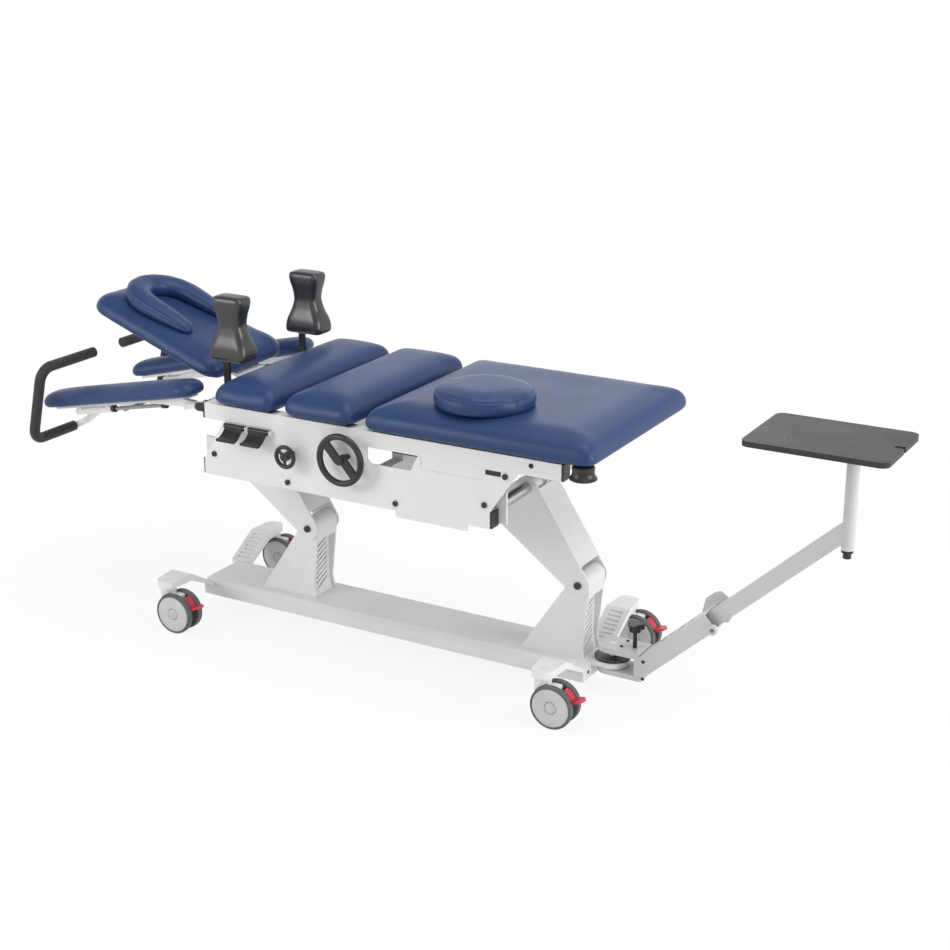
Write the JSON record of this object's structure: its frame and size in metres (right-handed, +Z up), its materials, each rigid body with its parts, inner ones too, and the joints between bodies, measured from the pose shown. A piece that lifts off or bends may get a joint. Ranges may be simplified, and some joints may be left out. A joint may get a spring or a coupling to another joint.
{
  "type": "traction table",
  "caption": "Wheeled lifting treatment table with tilting head section, armrests with hand grips, padded posts, sliding leg section and a swinging instrument stand at the foot.",
  "frame": {"origin": "on the floor under the middle of the object's box", "axes": "+X along the table towards the instrument stand, +Y away from the control side, +Z up"},
  "size_m": [2.634, 0.7024, 1.052],
  "materials": {
    "white_paint": "satin powder coat",
    "navy_vinyl": "soft upholstery vinyl over foam",
    "steel": "satin",
    "chrome_rod": "polished",
    "black_plastic": "fine grain",
    "black_foam": "closed-cell foam",
    "board": "dark laminated board",
    "grey_tray": "dark laminate",
    "grey_wheel": "grey tread, pale disc",
    "grey_hood": "moulded",
    "red_pedal": "moulded"
  },
  "bodies": {
    "base": {"base_beam": "white_paint", "columns": "white_paint", "column_pivot_bolts": "steel", "caster_arms": "white_paint", "traction_base_bracket": "white_paint", "index_disc": "black_plastic"},
    "head_near_fork": {"head_near_caster_hood": "grey_hood"},
    "head_near_wheels": {"head_near_caster_wheels": "grey_wheel"},
    "head_near_brake": {"head_near_caster_pedal": "red_pedal"},
    "head_far_fork": {"head_far_caster_hood": "grey_hood"},
    "head_far_wheels": {"head_far_caster_wheels": "grey_wheel"},
    "head_far_brake": {"head_far_caster_pedal": "red_pedal"},
    "foot_near_fork": {"foot_near_caster_hood": "grey_hood"},
    "foot_near_wheels": {"foot_near_caster_wheels": "grey_wheel"},
    "foot_near_brake": {"foot_near_caster_pedal": "red_pedal"},
    "foot_far_fork": {"foot_far_caster_hood": "grey_hood"},
    "foot_far_wheels": {"foot_far_caster_wheels": "grey_wheel"},
    "foot_far_brake": {"foot_far_caster_pedal": "red_pedal"},
    "head_lift": {"head_lift_arm": "white_paint"},
    "foot_lift": {"foot_lift_arm": "white_paint"},
    "upper_frame": {"side_rails": "white_paint", "side_panels": "white_paint", "cross_frame": "white_paint", "frame_pivot_shafts": "steel", "rail_end_caps": "black_plastic", "panel_bolts": "steel", "lift_actuator": "black_plastic", "section_boards": "board", "thoracic_cushion": "navy_vinyl", "lumbar_cushion": "navy_vinyl"},
    "lift_yoke": {"lift_actuator_yoke": "steel"},
    "long_section": {"long_carriage": "board", "long_cushion": "navy_vinyl"},
    "section_release": {"release_handle": "black_plastic"},
    "head_section": {"head_tilt_frame": "white_paint", "head_cushion": "navy_vinyl"},
    "face_rest": {"face_cushion": "navy_vinyl"},
    "round_pad": {"round_cushion": "navy_vinyl"},
    "near_armrest": {"near_armrest_frame": "white_paint", "near_armrest_cushion": "navy_vinyl", "near_armrest_strut": "chrome_rod", "near_hand_grip": "black_foam"},
    "near_post": {"near_post_stem": "steel", "near_post_pad": "black_plastic"},
    "far_armrest": {"far_armrest_frame": "white_paint", "far_armrest_cushion": "navy_vinyl", "far_armrest_strut": "chrome_rod", "far_hand_grip": "black_foam"},
    "far_post": {"far_post_stem": "steel", "far_post_pad": "black_plastic"},
    "paddle_1": {"release_paddle_1": "black_plastic"},
    "paddle_2": {"release_paddle_2": "black_plastic"},
    "small_wheel": {"small_handwheel": "black_plastic"},
    "large_wheel": {"large_handwheel": "black_plastic"},
    "traction_arm": {"swing_bracket": "white_paint", "outer_arm": "white_paint", "inner_arm": "white_paint"},
    "swing_clamp": {"clamp_knob": "black_plastic"},
    "instrument_tray": {"tray": "grey_tray"},
    "tray_lock": {"lock_plunger": "steel"}
  },
  "joints": [
    {"name": "head_near_swivel", "type": "hinge", "parent": "base", "child": "head_near_fork", "pos_m": [-0.827, -0.272, 0.15], "axis": [0, 0, 1], "continuous": true},
    {"name": "head_near_roll", "type": "hinge", "parent": "head_near_fork", "child": "head_near_wheels", "pos_m": [-0.789, -0.272, 0.0625], "axis": [0, 1, 0], "continuous": true},
    {"name": "head_near_brake_press", "type": "hinge", "parent": "head_near_fork", "child": "head_near_brake", "pos_m": [-0.789, -0.272, 0.0625], "axis": [0, 1, 0], "range_deg": [0, 20]},
    {"name": "head_far_swivel", "type": "hinge", "parent": "base", "child": "head_far_fork", "pos_m": [-0.827, 0.272, 0.15], "axis": [0, 0, 1], "continuous": true},
    {"name": "head_far_roll", "type": "hinge", "parent": "head_far_fork", "child": "head_far_wheels", "pos_m": [-0.789, 0.272, 0.0625], "axis": [0, 1, 0], "continuous": true},
    {"name": "head_far_brake_press", "type": "hinge", "parent": "head_far_fork", "child": "head_far_brake", "pos_m": [-0.789, 0.272, 0.0625], "axis": [0, 1, 0], "range_deg": [0, 20]},
    {"name": "foot_near_swivel", "type": "hinge", "parent": "base", "child": "foot_near_fork", "pos_m": [0.461, -0.272, 0.15], "axis": [0, 0, 1], "continuous": true},
    {"name": "foot_near_roll", "type": "hinge", "parent": "foot_near_fork", "child": "foot_near_wheels", "pos_m": [0.499, -0.272, 0.0625], "axis": [0, 1, 0], "continuous": true},
    {"name": "foot_near_brake_press", "type": "hinge", "parent": "foot_near_fork", "child": "foot_near_brake", "pos_m": [0.499, -0.272, 0.0625], "axis": [0, 1, 0], "range_deg": [0, 20]},
    {"name": "foot_far_swivel", "type": "hinge", "parent": "base", "child": "foot_far_fork", "pos_m": [0.461, 0.272, 0.15], "axis": [0, 0, 1], "continuous": true},
    {"name": "foot_far_roll", "type": "hinge", "parent": "foot_far_fork", "child": "foot_far_wheels", "pos_m": [0.499, 0.272, 0.0625], "axis": [0, 1, 0], "continuous": true},
    {"name": "foot_far_brake_press", "type": "hinge", "parent": "foot_far_fork", "child": "foot_far_brake", "pos_m": [0.499, 0.272, 0.0625], "axis": [0, 1, 0], "range_deg": [0, 20]},
    {"name": "lift", "type": "hinge", "parent": "base", "child": "head_lift", "pos_m": [-0.452, 0, 0.323], "axis": [0, 1, 0], "range_deg": [-72, 25]},
    {"name": "foot_arm_pivot", "type": "hinge", "parent": "base", "child": "foot_lift", "pos_m": [0.456, 0, 0.323], "axis": [0, 1, 0], "range_deg": [-72, 25]},
    {"name": "frame_level", "type": "hinge", "parent": "head_lift", "child": "upper_frame", "pos_m": [-0.617, 0, 0.581], "axis": [0, 1, 0], "range_deg": [-25, 72]},
    {"name": "yoke_slide", "type": "slide", "parent": "upper_frame", "child": "lift_yoke", "axis": [1, 0, 0], "range_m": [-0.0875, 0.031]},
    {"name": "long_section_slide", "type": "slide", "parent": "upper_frame", "child": "long_section", "axis": [1, 0, 0], "range_m": [0, 0.14]},
    {"name": "release_turn", "type": "hinge", "parent": "long_section", "child": "section_release", "pos_m": [0.575, -0.286, 0.768], "axis": [0, 0, 1], "range_deg": [-40, 0]},
    {"name": "head_tilt", "type": "hinge", "parent": "upper_frame", "child": "head_section", "pos_m": [-0.654, 0, 0.752], "axis": [0, 1, 0], "range_deg": [-27, 12]},
    {"name": "face_rest_lift_off", "type": "slide", "parent": "head_section", "child": "face_rest", "axis": [0.304, 0, 0.9527], "range_m": [0, 0.12]},
    {"name": "round_pad_lift_off", "type": "slide", "parent": "long_section", "child": "round_pad", "axis": [0, 0, 1], "range_m": [0, 0.15]},
    {"name": "near_armrest_tilt", "type": "hinge", "parent": "upper_frame", "child": "near_armrest", "pos_m": [-0.653, -0.281, 0.74], "axis": [0, 1, 0], "range_deg": [-14, 18]},
    {"name": "near_post_shift", "type": "slide", "parent": "upper_frame", "child": "near_post", "axis": [0, -1, 0], "range_m": [-0.06, 0.06]},
    {"name": "far_armrest_tilt", "type": "hinge", "parent": "upper_frame", "child": "far_armrest", "pos_m": [-0.653, 0.281, 0.74], "axis": [0, 1, 0], "range_deg": [-14, 18]},
    {"name": "far_post_shift", "type": "slide", "parent": "upper_frame", "child": "far_post", "axis": [0, 1, 0], "range_m": [-0.06, 0.06]},
    {"name": "paddle_1_pull", "type": "hinge", "parent": "upper_frame", "child": "paddle_1", "pos_m": [-0.517, -0.3063, 0.701], "axis": [1, 0, 0], "range_deg": [-12, 0], "stiffness_Nm_per_rad": 1.5, "springref_deg": 5.73},
    {"name": "paddle_2_pull", "type": "hinge", "parent": "upper_frame", "child": "paddle_2", "pos_m": [-0.433, -0.3063, 0.701], "axis": [1, 0, 0], "range_deg": [-12, 0], "stiffness_Nm_per_rad": 1.5, "springref_deg": 5.73},
    {"name": "small_wheel_turn", "type": "hinge", "parent": "upper_frame", "child": "small_wheel", "pos_m": [-0.325, -0.33, 0.651], "axis": [0, 1, 0], "continuous": true},
    {"name": "large_wheel_turn", "type": "hinge", "parent": "upper_frame", "child": "large_wheel", "pos_m": [-0.14, -0.33, 0.672], "axis": [0, 1, 0], "continuous": true},
    {"name": "arm_swing", "type": "hinge", "parent": "base", "child": "traction_arm", "pos_m": [0.542, 0, 0.11], "axis": [0, 0, 1], "range_deg": [-60, 60]},
    {"name": "clamp_turn", "type": "hinge", "parent": "traction_arm", "child": "swing_clamp", "pos_m": [0.608, 0, 0.17], "axis": [0, 0, 1], "continuous": true},
    {"name": "tray_turn", "type": "hinge", "parent": "traction_arm", "child": "instrument_tray", "pos_m": [1.191, 0, 0.82], "axis": [0, 0, 1], "continuous": true},
    {"name": "lock_pull", "type": "slide", "parent": "traction_arm", "child": "tray_lock", "axis": [0, 0, -1], "range_m": [0, 0.008], "stiffness_N_per_m": 600, "springref_m": -0.006}
  ],
  "couplings": [
    {"joint": "foot_arm_pivot", "follows": "lift", "ratio": 1},
    {"joint": "frame_level", "follows": "lift", "ratio": -1},
    {"joint": "yoke_slide", "follows": "lift", "m_per_rad": 0.068}
  ]
}
